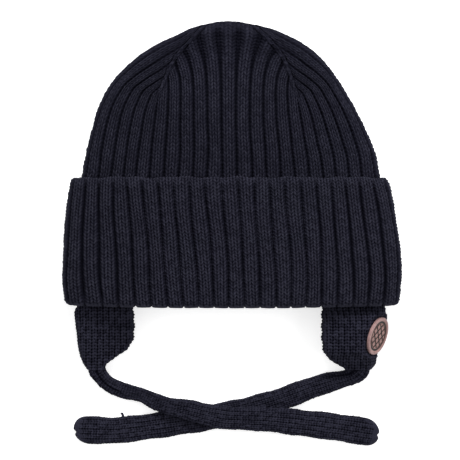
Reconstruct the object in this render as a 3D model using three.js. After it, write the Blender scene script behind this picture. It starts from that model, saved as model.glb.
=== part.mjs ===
// A child's ribbed beanie with a turned-up cuff, two ear flaps, two knitted ties and a round patch.
// It lies on its back on a flat surface. Millimetres, +Z up, +Y to the crown's closed top, and +X
// to the flap with the patch. The origin is on the surface, under the middle of the cuff.
import * as THREE from "three";

// Driving sizes of the ribbed tube
const RIBS = 44;
const QUARTER = RIBS / 4;
const PANEL_HALF = RIBS / 8;
const BODY_WALL = 3.4;
const CUFF_WALL = 3.6;
const LAYER_GAP = 0.6;
const BODY_RIB_DEPTH = 1.5;
const CUFF_RIB_DEPTH = 1.8;
const SEAM_DEPTH = 0.7;
const FOLD_SPREAD = 0.5;

// One rib: places across it, in parts of a rib from its crest, and how deep each lies below the crest
const RIB_STEPS = [
  { across: -0.5, depth: 1 },
  { across: -0.27, depth: 0.12 },
  { across: 0, depth: 0 },
  { across: 0.27, depth: 0.12 },
];

// Height of the cuff: its top edge, the start of its bottom fold and the end of the inner layer
const CUFF_TOP = 37.8;
const HEM_START = -35.6;
const INNER_END = -34.0;
const HEM_RADIUS = (BODY_WALL + LAYER_GAP + CUFF_WALL) / 2;
const RIM_Y = INNER_END + 0.3;

// Sections of the cuff's outside, from the hem up. left and right are its side folds, middle is the
// front's middle rib, and seam is half the width of the front's 11 ribs.
const CUFF_SECTIONS = named(
  ["y", "left", "right", "middle", "seam"],
  [
    [-40, -99.4, 99.4, 3.6, 49.6],
    [-20, -99.2, 99.6, 3.0, 50.4],
    [0, -98.6, 98.2, 1.6, 50.4],
    [20, -97.2, 95.6, -0.4, 50.6],
    [38, -95.0, 92.0, -1.6, 51.0],
  ],
);
const CUFF_OVAL = { fold: 12.3, axis: 12, top: 30 };
const CUFF_OUTSIDE = [CUFF_TOP - 1.3, 16, -10, HEM_START];

// Sections of the body's outside, from the rim to the closed top. Each follows one knitted row:
// front is its y on the front's middle line and side its y at the side folds, left and right are
// the folds' x, middle is the middle rib's x, seam is half the front panel's width, ribs is half
// its number of ribs and sideRibs those from a fold to a seam, crowd is how much narrower than the
// middle ones the ribs near a seam are, dip is how far the row drops at the seam, fold is the side
// folds' radius, axis their height, and top the height of the front.
const CROWN_SECTIONS = named(
  [
    "front", "side", "left", "right", "middle", "seam", "ribs", "sideRibs", "crowd", "dip",
    "fold", "axis", "top",
  ],
  [
    [RIM_Y, RIM_Y, -95.1, 95.2, 3.4, 47.6, 5.5, 5.5, 0, 0, 8.1, 12, 25.8],
    [0, 0, -94.4, 94.0, 1.6, 47.8, 5.5, 5.5, 0, 0, 8.1, 12, 25.8],
    [30, 30, -91.3, 88.8, -1, 47.4, 5.5, 5.5, 0, 0, 8.1, 12, 25.8],
    [39, 39.5, -88.2, 86.8, -1.4, 46.8, 5.5, 5.5, 0, 0, 8.1, 12, 25.8],
    [48, 50, -86.3, 85.0, -1.4, 46, 5.5, 5.5, 0, 0, 9, 10.8, 26.4],
    [59.6, 63.1, -83.4, 79.8, -1.6, 44.6, 5.5, 5.5, 0.03, 0, 9.4, 9.6, 26.8],
    [72.6, 79.1, -78.6, 72.2, -1.8, 42.8, 5.5, 5.5, 0.09, 0, 9.5, 9.2, 26.4],
    [84.4, 94.4, -69.9, 62.9, -1.8, 41.0, 5.4, 5.25, 0.14, 0, 9.4, 9.1, 25],
    [95.0, 103.3, -61.8, 56.4, -1.8, 38.1, 4.95, 4.3, 0.18, 2.4, 9, 8.9, 22.6],
    [105.6, 110.6, -53.0, 49.8, -1.8, 35.0, 4.1, 3.1, 0.18, 4.7, 8.3, 8.5, 19.8],
    [115.1, 117.5, -41.4, 40.2, -1.9, 29.8, 2.85, 2.1, 0.1, 4.4, 7.2, 7.9, 16.4],
    [122.1, 123.0, -28.4, 27.6, -2, 22.4, 1.9, 1.45, 0.05, 3.2, 5.6, 7.2, 13.4],
    [127.6, 126.2, -21.4, 17.8, -2, 16.4, 1.4, 1.15, 0, 2.6, 3.8, 6.8, 11],
    [131.0, 127.3, -17.4, 13.2, -2, 13.0, 1.1, 1, 0, 2.2, 2.4, 6.5, 9.2],
  ],
);
const CROWN_OUTSIDE = [RIM_Y, 0, 37, 48, 59.6, 72.6, 84.4, 95, 105.6, 115.1, 122.1, 127.6, 131];
const CROWN_INSIDE = [RIM_Y, 37, 72.6, 84.4, 95, 105.6, 115.1];

// Ear flaps: plain knit, folded in two along the outer side, tucked inside the rim. out is measured
// from the middle of the hat: edge is the free inner edge, upper and lower are the two corners of
// the fold, each with its height, and droop is how far the upper layer sinks to its free edge.
const FLAP_WALL = 3;
const FLAP_COLUMNS = ["y", "edge", "upper", "upperZ", "lower", "lowerZ", "droop", "round"];
const LEFT_FLAP = named(FLAP_COLUMNS, [
  [-27.5, 58, 90, 16.1, 90, 7.9, 0, 4],
  [-39.8, 58, 90, 16.1, 90, 7.9, 0, 4],
  [-42.4, 57.9, 91.6, 15.9, 92, 5, 0.6, 4],
  [-50, 57.6, 90.6, 15, 91.4, 0.8, 2.6, 4],
  [-58, 58.2, 89, 13.6, 90.2, 0.3, 3.2, 4],
  [-64, 61.8, 87.8, 12, 88.9, 0.3, 2.6, 3.6],
  [-69, 67.4, 86.6, 10.2, 87.6, 0.3, 1.6, 3.2],
  [-73, 72.6, 85.2, 9, 86, 0.3, 0.6, 3],
  [-76.6, 74.4, 83.0, 8.2, 83.4, 0.3, 0.2, 3],
]);
const RIGHT_FLAP_ENDS = named(FLAP_COLUMNS, [
  [-27.5, 53.4, 90, 16.1, 90, 7.9, 0, 4],
  [-39.6, 53.4, 90, 16.1, 90, 7.9, 0, 4],
  [-69, 58.8, 80.2, 15.4, 85.2, 0.3, 2, 3.6],
  [-72.6, 63, 79.4, 11, 83.4, 0.3, 1, 3.2],
  [-76.4, 68.6, 78.2, 9, 80.6, 0.3, 0.4, 3],
]);
// Between those ends the right flap's outer side is flat, held by the patch that is sewn on it
const RIGHT_FLAP_FACE = named(
  ["y", "edge", "upperZ", "lowerZ", "droop", "round"],
  [
    [-45.5, 53.4, 21.4, 2, 3, 3],
    [-55.8, 53.4, 22, 1.4, 5, 3],
    [-65, 55.4, 20.6, 1, 4.6, 3],
  ],
);

// Round patch: a leather disc with a raised rim, leaning outwards on the right flap's outer side
const PATCH_RADIUS = 11.4;
const PATCH_THICK = 1.7;
const PATCH_SINK = 0.45;
const PATCH_RIM = 2;
const PATCH_CENTRE = new THREE.Vector3(85.6, -55.8, 11.5);
const PATCH_FACING = new THREE.Vector3(0.827, -0.257, 0.5).normalize();
const PATCH_GAP = 0.35;

// Ties: flat knitted straps that lie on the surface, the left one over the right one. A row is a
// point of the middle line with the strap's width and thickness there.
const TIE_COLUMNS = ["x", "y", "z", "wide", "thick"];
const LEFT_TIE = named(TIE_COLUMNS, [
  [-78.8, -77.0, 4.2, 8, 7.2],
  [-78.0, -79.8, 4, 8.2, 7],
  [-75.0, -83.4, 3.7, 8.6, 6.4],
  [-70.0, -86.7, 3.4, 8.6, 6],
  [-62.8, -89.3, 3.2, 8, 5.8],
  [-53.4, -91.6, 3.4, 8, 5.6],
  [-44.4, -95.6, 5.6, 8.6, 5.2],
  [-36, -98.0, 7.3, 9.6, 4.6],
  [-27.1, -99.6, 7.4, 10.6, 4.4],
  [-13.9, -102.3, 7.4, 11.8, 4.4],
  [-0.9, -104.4, 7.4, 12, 4.4],
  [16.2, -104.9, 7.4, 12.2, 4.4],
  [32.7, -106.2, 7.2, 13.8, 4.4],
  [43, -107.6, 4.6, 14.6, 4.4],
  [53, -108.8, 2.6, 14.8, 4.4],
  [66.1, -110.5, 2.4, 15, 4.4],
  [80, -112.3, 2.4, 15.2, 4.4],
]);
const RIGHT_TIE = named(TIE_COLUMNS, [
  [74.5, -76.8, 4.3, 9.4, 7.2],
  [74.4, -79.4, 4, 9, 6.8],
  [69.4, -82.2, 3.4, 9.4, 5.8],
  [58.1, -83.9, 2.7, 11, 4.8],
  [45.7, -87.5, 2.4, 12.2, 4.4],
  [34.2, -92.0, 2.4, 12.4, 4.4],
  [19.8, -96.8, 2.4, 13, 4.4],
  [-5.6, -103.0, 2.4, 14, 4.4],
  [-39.8, -108.3, 2.4, 14.2, 4.4],
  [-59.3, -110.9, 2.4, 14.4, 4.4],
  [-72, -112.0, 2.4, 14.8, 4.4],
  [-85.4, -111.4, 2.4, 15, 4.4],
]);
const TIE_SIDES = 8;
const TIE_STEPS = 3;
const TIE_END = 6.6;
const FLAP_END_FACING = new THREE.Vector3(0, -1, 0);

const KNIT = new THREE.MeshStandardMaterial({ color: 0x1e1e28, roughness: 0.95, metalness: 0 });
const PLAIN_KNIT = new THREE.MeshStandardMaterial({ color: 0x1d1d27, roughness: 0.95, metalness: 0 });
const LEATHER = new THREE.MeshStandardMaterial({ color: 0x77605d, roughness: 0.6, metalness: 0 });

// Turns rows of numbers into rows with named columns.
function named(columns, rows) {
  return rows.map((row) => Object.fromEntries(columns.map((name, i) => [name, row[i]])));
}

// The row of a table at a place along one of its columns, on a smooth curve that never overshoots.
function rowAt(table, along, place) {
  const last = table.length - 2;
  let i = table.findIndex((row, k) => k > last || place <= table[k + 1][along]);
  i = Math.min(Math.max(i, 0), last);
  const span = table[i + 1][along] - table[i][along];
  const t = Math.min(Math.max((place - table[i][along]) / span, 0), 1);
  const slope = (k, name) => {
    if (k <= 0 || k >= table.length - 1) return chord(table, along, Math.min(Math.max(k, 0), last), name);
    const before = chord(table, along, k - 1, name);
    const after = chord(table, along, k, name);
    return before * after <= 0 ? 0 : (2 * before * after) / (before + after);
  };
  const row = {};
  for (const name of Object.keys(table[i])) {
    const [a, b] = [table[i][name], table[i + 1][name]];
    const [p, q] = [slope(i, name) * span, slope(i + 1, name) * span];
    row[name] = a + t * (p + t * (3 * (b - a) - 2 * p - q + t * (2 * (a - b) + p + q)));
  }
  return row;
}

// The straight slope of a column between two rows.
function chord(table, along, k, name) {
  return (table[k + 1][name] - table[k][name]) / (table[k + 1][along] - table[k][along]);
}

// A flattened oval in x and z: round side folds, a flat back and a gently arched front.
function oval({ left, right, fold, axis, top }) {
  const flat = (right - left) / 2 - fold;
  const rise = top - axis;
  const arch = (flat * flat + rise * rise - fold * fold) / (2 * (rise - fold));
  const lean = Math.atan2(flat, arch - rise);
  return { flat, fold, axis, top, arch, lean, centre: (left + right) / 2, half: flat + fold };
}

// The length of an oval's front or back from its middle to the middle of a side fold.
function halfLength(o, front) {
  return front
    ? o.arch * o.lean + o.fold * (Math.PI / 2 - o.lean)
    : o.flat + (o.fold * Math.PI) / 2;
}

// The point and the outward direction on an oval, at a length from the middle of its front or back.
function onOval(o, front, length) {
  const bend = front ? o.arch * o.lean : o.flat;
  if (length <= bend) {
    const turn = front ? length / o.arch : 0;
    const x = front ? o.arch * Math.sin(turn) : length;
    const z = front ? o.top - o.arch * (1 - Math.cos(turn)) : o.axis - o.fold;
    return { x, z, outX: Math.sin(turn), outZ: front ? Math.cos(turn) : -1 };
  }
  const turn = (front ? o.lean : 0) + (length - bend) / o.fold;
  const up = front ? Math.cos(turn) : -Math.cos(turn);
  return { x: o.flat + o.fold * Math.sin(turn), z: o.axis + o.fold * up, outX: Math.sin(turn), outZ: up };
}

// The length along an oval's front at which x is reached.
function lengthTo(o, x) {
  const bendX = o.arch * Math.sin(o.lean);
  if (x <= bendX) return o.arch * Math.asin(x / o.arch);
  return o.arch * o.lean + o.fold * (Math.asin(Math.min((x - o.flat) / o.fold, 1)) - o.lean);
}

// Where a rib coordinate lies: 0 is the left fold, 11 the front's middle rib, 22 the right fold.
function ribPlace(rib) {
  const turn = (rib + RIBS) % RIBS;
  const front = turn <= RIBS / 2;
  const across = front ? turn : RIBS - turn;
  return { front, hand: across < QUARTER ? -1 : 1, fromMiddle: Math.abs(across - QUARTER) };
}

// Ribs near a side fold are stretched a little: their count as a length.
function spread(ribs) {
  return ribs + FOLD_SPREAD * (1 - Math.exp(-ribs));
}

// A point of the ribbed tube: a rib coordinate on a section, sunk inwards by a depth. The tube is
// flattened where it meets the surface that it lies on.
function tubePoint(section, rib, sink) {
  const o = oval(section);
  const { front, hand, fromMiddle } = ribPlace(rib);
  const whole = halfLength(o, front);
  const seamLength = (lengthTo(o, section.seam) / halfLength(o, true)) * whole;
  const inPanel = fromMiddle <= PANEL_HALF;
  const ribs = inPanel ? section.ribs : section.sideRibs;
  const count = Math.min(inPanel ? fromMiddle : QUARTER - fromMiddle, ribs);
  const part = inPanel ? count / ribs : spread(count) / spread(ribs);
  const length = inPanel
    ? seamLength * part * (1 + section.crowd * (1 - part))
    : whole - (whole - seamLength) * part;
  const p = onOval(o, front, length);
  const shift = front ? (section.middle - o.centre) * (1 - (p.x / o.half) ** 2) : 0;
  const seamY = section.front - section.dip;
  const y = inPanel
    ? section.front - section.dip * part * part
    : seamY + (section.side - seamY) * (1 - part) ** 1.5;
  const x = o.centre + shift + hand * (p.x - sink * p.outX);
  return new THREE.Vector3(x, y, Math.max(p.z - sink * p.outZ, 0));
}

// The rib coordinates all round the tube, with the depth of the valley at each.
function ribColumns() {
  const columns = [];
  for (let rib = 0; rib < RIBS; rib += 1) {
    for (const step of RIB_STEPS) columns.push({ rib: rib + step.across, depth: step.depth });
  }
  return columns;
}

// One closed ring of the tube. Ribs that have ended at a seam share the seam's point.
function tubeRing(section, wallDepth, ribDepth) {
  const seams = new Map();
  return ribColumns().map(({ rib, depth }) => {
    const { front, hand, fromMiddle } = ribPlace(rib);
    const ribs = fromMiddle <= PANEL_HALF ? section.ribs : section.sideRibs;
    if (Math.min(fromMiddle, QUARTER - fromMiddle) < ribs || ribs >= PANEL_HALF) {
      return tubePoint(section, rib, wallDepth + ribDepth * depth);
    }
    const corner = `${front} ${hand}`;
    if (!seams.has(corner)) {
      const sink = wallDepth + ribDepth * SEAM_DEPTH;
      seams.set(corner, tubePoint(section, rib, sink));
    }
    return seams.get(corner);
  });
}

// The middle of a ring, pushed along y.
function ringMiddle(ring, push) {
  const middle = new THREE.Vector3();
  ring.forEach((p) => middle.addScaledVector(p, 1 / ring.length));
  middle.y += push;
  return middle;
}

// A closed solid through rings of points. ends is "loop" where the last ring joins the first, "fan"
// where each end closes on its middle, or "strip" where each end is the cut edge of a bent sheet.
// pushes moves the two middles along y.
function solidOfRings(rings, ends, pushes = [0, 0]) {
  const numbers = new Map();
  const positions = [];
  const numberOf = (p) => {
    if (!numbers.has(p)) {
      numbers.set(p, numbers.size);
      positions.push(p.x, p.y, p.z);
    }
    return numbers.get(p);
  };
  const triangles = [];
  const face = (a, b, c) => {
    const corners = [numberOf(a), numberOf(b), numberOf(c)];
    if (new Set(corners).size === 3) triangles.push(...corners);
  };
  const quad = (a, b, c, d) => {
    face(a, b, c);
    face(a, c, d);
  };
  const around = rings[0].length;
  const joins = ends === "loop" ? rings.length : rings.length - 1;
  for (let r = 0; r < joins; r += 1) {
    const [near, far] = [rings[r], rings[(r + 1) % rings.length]];
    for (let k = 0; k < around; k += 1) {
      const next = (k + 1) % around;
      quad(near[k], near[next], far[next], far[k]);
    }
  }
  const closings = [
    { ring: [...rings[0]].reverse(), push: pushes[0] },
    { ring: rings[rings.length - 1], push: pushes[1] },
  ];
  for (const { ring, push } of ends === "loop" ? [] : closings) {
    const middle = ringMiddle(ring, push);
    for (let k = 0; ends === "fan" && k < around; k += 1) face(ring[k], ring[(k + 1) % around], middle);
    for (let k = 0; ends === "strip" && k < around / 2 - 1; k += 1) {
      quad(ring[k], ring[k + 1], ring[around - 2 - k], ring[around - 1 - k]);
    }
  }
  return outward(positions, triangles);
}

// A geometry whose faces point outwards, whichever way its rings ran.
function outward(positions, triangles) {
  const corner = (k) => new THREE.Vector3().fromArray(positions, 3 * triangles[k]);
  let volume = 0;
  for (let k = 0; k < triangles.length; k += 3) {
    volume += corner(k).dot(corner(k + 1).cross(corner(k + 2))) / 6;
  }
  const facing = volume < 0 ? [...triangles].reverse() : triangles;
  const geometry = new THREE.BufferGeometry();
  geometry.setAttribute("position", new THREE.Float32BufferAttribute(positions, 3));
  geometry.setIndex(facing);
  geometry.computeVertexNormals();
  return geometry;
}

// The crown and body: a ribbed tube with a closed top, hollow from the rim.
function crownGeometry() {
  const ring = (front, wall, ribDepth) => tubeRing(rowAt(CROWN_SECTIONS, "front", front), wall, ribDepth);
  const inside = CROWN_INSIDE.map((front) => ring(front, BODY_WALL, 0)).reverse();
  const outside = CROWN_OUTSIDE.map((front) => ring(front, 0, BODY_RIB_DEPTH));
  return solidOfRings([...inside, ...outside], "fan", [2, 1]);
}

// The cuff: the outer layer of the turned-up band, with the rounded fold at its hem.
function cuffGeometry() {
  const section = (y) => {
    const row = rowAt(CUFF_SECTIONS, "y", y);
    return { ...row, ...CUFF_OVAL, front: y, side: y, ribs: PANEL_HALF, sideRibs: PANEL_HALF, crowd: 0, dip: 0 };
  };
  const straight = (y, wall, ribDepth) => tubeRing(section(y), wall, ribDepth);
  const outside = CUFF_OUTSIDE.map((y) => straight(y, 0, CUFF_RIB_DEPTH));
  const hem = [45, 90, 135].map((degrees) => {
    const turn = THREE.MathUtils.degToRad(degrees);
    return ribColumns().map(({ rib, depth }) => {
      const radius = HEM_RADIUS - depth * CUFF_RIB_DEPTH;
      const p = tubePoint(section(HEM_START), rib, HEM_RADIUS - radius * Math.cos(turn));
      p.y = HEM_START - radius * Math.sin(turn);
      return p;
    });
  });
  const inner = [
    straight(INNER_END, 2 * HEM_RADIUS, 0),
    straight(INNER_END, CUFF_WALL, 0),
    straight(0, CUFF_WALL, 0),
    straight(CUFF_TOP - 1.3, CUFF_WALL, 0),
  ];
  const lip = straight(CUFF_TOP, 0.5 * CUFF_WALL, 0.2 * CUFF_RIB_DEPTH);
  return solidOfRings([...outside, ...hem, ...inner, lip], "loop");
}

// A corner moved inwards from both of its sides by a wall's thickness, in the plane of out and z.
function innerCorner(before, corner, after, wall) {
  const side = (a, b) => new THREE.Vector2(b.y - a.y, a.x - b.x).normalize();
  const first = side(before, corner);
  const second = side(corner, after);
  return corner.clone().addScaledVector(first.clone().add(second), wall / (1 + first.dot(second)));
}

// A bent sheet's line through four corners, with the two middle ones rounded.
function bentLine([start, upper, lower, end], round) {
  const cut = (corner, to) => {
    const reach = Math.min(round, 0.45 * corner.distanceTo(to));
    return corner.clone().lerp(to, reach / corner.distanceTo(to));
  };
  const bend = (before, corner, after) => {
    const [a, b] = [cut(corner, before), cut(corner, after)];
    const middle = a.clone().add(b).addScaledVector(corner, 2).multiplyScalar(0.25);
    return [a, middle, b];
  };
  const upperBend = bend(start, upper, lower);
  const lowerBend = bend(upper, lower, end);
  const halfway = (a, b) => a.clone().lerp(b, 0.5);
  return [
    start, halfway(start, upperBend[0]), ...upperBend,
    ...lowerBend, halfway(lowerBend[2], end), end,
  ];
}

// One ring of a flap: its outside from edge to edge, then its inside back again.
function flapRing(row, hand) {
  const corners = [
    new THREE.Vector2(row.edge, row.upperZ - row.droop),
    new THREE.Vector2(row.upper, row.upperZ),
    new THREE.Vector2(row.lower, row.lowerZ),
    new THREE.Vector2(row.edge, row.lowerZ),
  ];
  const [start, upper, lower, end] = corners;
  const lining = [
    new THREE.Vector2(start.x, start.y - FLAP_WALL),
    innerCorner(start, upper, lower, FLAP_WALL),
    innerCorner(upper, lower, end, FLAP_WALL),
    new THREE.Vector2(end.x, end.y + FLAP_WALL),
  ];
  const outside = bentLine(corners, row.round);
  const inside = bentLine(lining, row.round / 3).reverse();
  return [...outside, ...inside].map((p) => new THREE.Vector3(hand * p.x, row.y, p.y));
}

// The right flap's rows, with its flat side a little behind the patch.
function rightFlapRows() {
  const back = PATCH_CENTRE.clone().addScaledVector(PATCH_FACING, -PATCH_GAP);
  const face = (y, z) => {
    const lean = PATCH_FACING.y * (y - back.y) + PATCH_FACING.z * (z - back.z);
    return back.x - lean / PATCH_FACING.x;
  };
  const flat = RIGHT_FLAP_FACE.map((row) => ({
    ...row,
    upper: face(row.y, row.upperZ),
    lower: face(row.y, row.lowerZ),
  }));
  return [...RIGHT_FLAP_ENDS, ...flat].sort((a, b) => b.y - a.y);
}

function flapGeometry(rows, hand) {
  return solidOfRings(rows.map((row) => flapRing(row, hand)), "strip");
}

// A strap's section: wide, flat and round at its two edges.
function strapRing(centre, along, wide, thick) {
  const side = new THREE.Vector3(along.y, -along.x, 0).normalize();
  const up = new THREE.Vector3().crossVectors(side, along).normalize();
  const ring = [];
  for (let k = 0; k < TIE_SIDES; k += 1) {
    const turn = ((k + 0.5) / TIE_SIDES) * 2 * Math.PI;
    const across = Math.sign(Math.cos(turn)) * Math.abs(Math.cos(turn)) ** 0.6;
    const over = Math.sign(Math.sin(turn)) * Math.abs(Math.sin(turn)) ** 0.6;
    const p = centre.clone().addScaledVector(side, (across * wide) / 2);
    p.addScaledVector(up, (over * thick) / 2);
    p.z = Math.max(p.z, 0.05);
    ring.push(p);
  }
  return ring;
}

// A tie swept along its middle line, closed by a rounded free end.
function tieGeometry(rows) {
  const curve = new THREE.CatmullRomCurve3(rows.map((row) => new THREE.Vector3(row.x, row.y, row.z)));
  const steps = (rows.length - 1) * TIE_STEPS;
  const rings = [];
  for (let k = 0; k <= steps; k += 1) {
    const i = Math.min(Math.floor(k / TIE_STEPS), rows.length - 2);
    const t = k / TIE_STEPS - i;
    const wide = THREE.MathUtils.lerp(rows[i].wide, rows[i + 1].wide, t);
    const thick = THREE.MathUtils.lerp(rows[i].thick, rows[i + 1].thick, t);
    const along = k === 0 ? FLAP_END_FACING : curve.getTangent(k / steps);
    rings.push(strapRing(curve.getPoint(k / steps), along, wide, thick));
  }
  const end = rows[rows.length - 1];
  const along = curve.getTangent(1).setZ(0).normalize();
  for (const degrees of [30, 55, 76]) {
    const turn = THREE.MathUtils.degToRad(degrees);
    const centre = new THREE.Vector3(end.x, end.y, end.z);
    centre.addScaledVector(along, TIE_END * Math.sin(turn));
    rings.push(strapRing(centre, along, end.wide * Math.cos(turn), end.thick * (0.4 + 0.6 * Math.cos(turn))));
  }
  return solidOfRings(rings, "fan");
}

// The patch: a disc turned about its own axis, with a raised rim around a sunk face.
function patchGeometry() {
  const profile = [
    [0, 0],
    [PATCH_RADIUS - 0.3, 0],
    [PATCH_RADIUS, 0.4],
    [PATCH_RADIUS, PATCH_THICK - 0.5],
    [PATCH_RADIUS - 0.5, PATCH_THICK],
    [PATCH_RADIUS - PATCH_RIM + 0.3, PATCH_THICK],
    [PATCH_RADIUS - PATCH_RIM, PATCH_THICK - PATCH_SINK],
    [0, PATCH_THICK - PATCH_SINK],
  ];
  return new THREE.LatheGeometry(profile.map(([r, h]) => new THREE.Vector2(r, h)), 28);
}

function piece(name, geometry, material) {
  const mesh = new THREE.Mesh(geometry, material);
  mesh.name = name;
  return mesh;
}

const beanie = new THREE.Group();
beanie.add(piece("crown", crownGeometry(), KNIT));
beanie.add(piece("cuff", cuffGeometry(), KNIT));
beanie.add(piece("left_flap", flapGeometry(LEFT_FLAP, -1), PLAIN_KNIT));
beanie.add(piece("right_flap", flapGeometry(rightFlapRows(), 1), PLAIN_KNIT));
beanie.add(piece("left_tie", tieGeometry(LEFT_TIE), PLAIN_KNIT));
beanie.add(piece("right_tie", tieGeometry(RIGHT_TIE), PLAIN_KNIT));

const patch = piece("flap_patch", patchGeometry(), LEATHER);
patch.position.copy(PATCH_CENTRE);
patch.quaternion.setFromUnitVectors(new THREE.Vector3(0, 1, 0), PATCH_FACING);
beanie.add(patch);

export default beanie;
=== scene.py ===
# %% [markdown]
# A ribbed beanie, laid on its back: a tube of 2x2 rib whose hem is turned up as a cuff, two ear
# flaps and two ties in plain knit, and a round leather patch. What the eye reads as wool is the
# stitches, so each knitted piece is a grid whose lines follow them: one set of lines runs up the
# knit columns, the other along the rows. Sizes are in millimetres, and the set's are in metres.

# %% Frame
import bmesh
import bpy
import numpy as np
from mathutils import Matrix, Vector


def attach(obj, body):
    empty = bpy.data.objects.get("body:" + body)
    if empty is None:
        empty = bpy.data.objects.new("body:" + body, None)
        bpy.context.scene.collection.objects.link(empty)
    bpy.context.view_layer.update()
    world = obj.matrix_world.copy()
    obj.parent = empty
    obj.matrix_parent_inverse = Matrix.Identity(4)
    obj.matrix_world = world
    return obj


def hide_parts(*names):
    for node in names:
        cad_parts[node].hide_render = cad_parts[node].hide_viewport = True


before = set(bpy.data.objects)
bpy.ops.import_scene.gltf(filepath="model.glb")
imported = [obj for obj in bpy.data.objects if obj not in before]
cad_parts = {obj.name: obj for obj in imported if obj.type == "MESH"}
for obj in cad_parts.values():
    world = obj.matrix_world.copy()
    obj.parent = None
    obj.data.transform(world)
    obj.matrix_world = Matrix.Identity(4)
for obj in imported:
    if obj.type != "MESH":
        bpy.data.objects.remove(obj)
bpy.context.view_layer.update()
MM = 0.001
print("frame nodes:", sorted(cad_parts))

# %% [markdown]
# The camera comes first. The photograph looks straight down on the hat, and one of its pixels is
# 0.59 mm on the hat, so the lens is chosen to frame 460 such pixels from 1.2 m above.

# %% Camera
PIXEL = 0.59
IMAGE_PIXELS = 460
ORIGIN_PIXEL = (231.5, 241.0)
CAMERA_HEIGHT = 1200.0
FOCUS_HEIGHT = 12.0
SENSOR = 36.0


def new_object(name, data):
    """A new object in the scene that shows a mesh, a camera or a light."""
    item = bpy.data.objects.new(name, data)
    bpy.context.collection.objects.link(item)
    return item


camera_data = bpy.data.cameras.new("photo_camera")
camera_data.sensor_width = SENSOR
camera_data.lens = SENSOR * CAMERA_HEIGHT / (PIXEL * IMAGE_PIXELS)
camera_data.clip_start = 0.05
camera_data.clip_end = 10
camera = new_object("photo_camera", camera_data)
middle = (IMAGE_PIXELS / 2 - np.array(ORIGIN_PIXEL)) * [1, -1] * PIXEL
camera.location = np.array([*middle, CAMERA_HEIGHT + FOCUS_HEIGHT]) * MM
bpy.context.scene.camera = camera

# %% [markdown]
# Every piece is a grid of points. A helper turns such a grid into a mesh, and stores what the
# materials need: a UV map that counts stitches, and how deep each point lies in the knit.

# %% Grid to mesh
WELD_DISTANCE = 0.002


def grid_object(name, points, stitches, hollow, closed):
    """A mesh through points, an array of rows x columns x 3 in millimetres, with its last column
    joined to the first. stitches holds each point's place in stitches (across, along), and hollow
    how deep it lies, 0 to 1. closed ends the first and last row on their middle point."""
    rows, columns = points.shape[:2]
    row, column = np.meshgrid(np.arange(rows - 1), np.arange(columns), indexing="ij")
    here, beside = row * columns + column, row * columns + (column + 1) % columns
    faces = np.stack([here, beside, beside + columns, here + columns], -1).reshape(-1, 4)
    across = np.concatenate([stitches[..., 0], 2 * stitches[:, -1:, 0] - stitches[:, -2:-1, 0]], 1)
    along = np.concatenate([stitches[..., 1], stitches[:, :1, 1]], 1)
    counted = np.stack([across, along], -1)
    corners = [(row, column), (row, column + 1), (row + 1, column + 1), (row + 1, column)]
    uv = np.stack([counted[corner] for corner in corners], 2).reshape(-1, 2)
    vertices = points.reshape(-1, 3) * MM
    depth = hollow.reshape(-1)
    fans = np.zeros((0, 3), int)
    for place in (0, rows - 1) if closed else ():
        ring = place * columns + np.arange(columns)
        following = np.roll(ring, -1)
        sides = [following, ring] if place == 0 else [ring, following]
        fans = np.vstack([fans, np.stack([*sides, np.full(columns, len(vertices))], -1)])
        vertices = np.vstack([vertices, vertices[ring].mean(0)])
        depth = np.append(depth, depth[ring].mean())
        uv = np.vstack([uv, np.zeros((3 * columns, 2))])
    mesh = bpy.data.meshes.new(name)
    mesh.from_pydata(vertices, [], faces.tolist() + fans.tolist())
    mesh.shade_smooth()
    mesh.uv_layers.new(name="stitches").data.foreach_set("uv", uv.ravel())
    mesh.attributes.new("hollow", "FLOAT", "POINT").data.foreach_set("value", depth.astype(np.float32))
    tidy = bmesh.new()
    tidy.from_mesh(mesh)
    bmesh.ops.remove_doubles(tidy, verts=tidy.verts, dist=WELD_DISTANCE * MM)
    bmesh.ops.recalc_face_normals(tidy, faces=tidy.faces)
    tidy.to_mesh(mesh)
    tidy.free()
    mesh.update()
    print(name, len(mesh.vertices), "vertices,", len(mesh.polygons), "faces")
    return new_object(name, mesh)


def add_piece(name, grid, material, node=None, closed=False):
    """A piece from its grid of points, stitches and hollows. It gets its material, rides on the
    hat's one body, and stands for its CAD node where it has one."""
    piece = grid_object(name, *grid, closed)
    piece.data.materials.append(material)
    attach(piece, "root")
    if node:
        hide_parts(node)
    return piece


# %% [markdown]
# The hat's sections are short tables like the solid model's, a little wider where stitches and ribs
# sink in from them, and a smooth curve runs through each column.

# %% Tables
def table(columns, rows):
    """Rows of numbers as one array for each named column."""
    return dict(zip(columns, np.array(rows, float).T))


def slopes(x, y):
    """The slope at each row that keeps a cubic from overshooting: the harmonic mean of the straight
    slopes on both sides, and none where they turn."""
    chord = np.diff(y) / np.diff(x)
    before, after = chord[:-1], chord[1:]
    total = np.where(before * after > 0, before + after, 1)
    inner = np.where(before * after > 0, 2 * before * after / total, 0)
    return np.concatenate([chord[:1], inner, chord[-1:]])


def row_at(rows, along, place):
    """Each column of a table at any number of places along one of its columns."""
    x = rows[along]
    i = np.clip(np.searchsorted(x, place) - 1, 0, len(x) - 2)
    span = x[i + 1] - x[i]
    t = np.clip((place - x[i]) / span, 0, 1)
    found = {}
    for name, y in rows.items():
        slope = slopes(x, y)
        a, b, p, q = y[i], y[i + 1], slope[i] * span, slope[i + 1] * span
        found[name] = a + t * (p + t * (3 * (b - a) - 2 * p - q + t * (2 * (a - b) + p + q)))
    return found


def smoothstep(x):
    """0 below 0, 1 above 1, and an S curve between."""
    x = np.clip(x, 0, 1)
    return x * x * (3 - 2 * x)


def unit(vectors):
    """Vectors of length 1 in the same directions."""
    return vectors / np.linalg.norm(vectors, axis=-1, keepdims=True)


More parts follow.
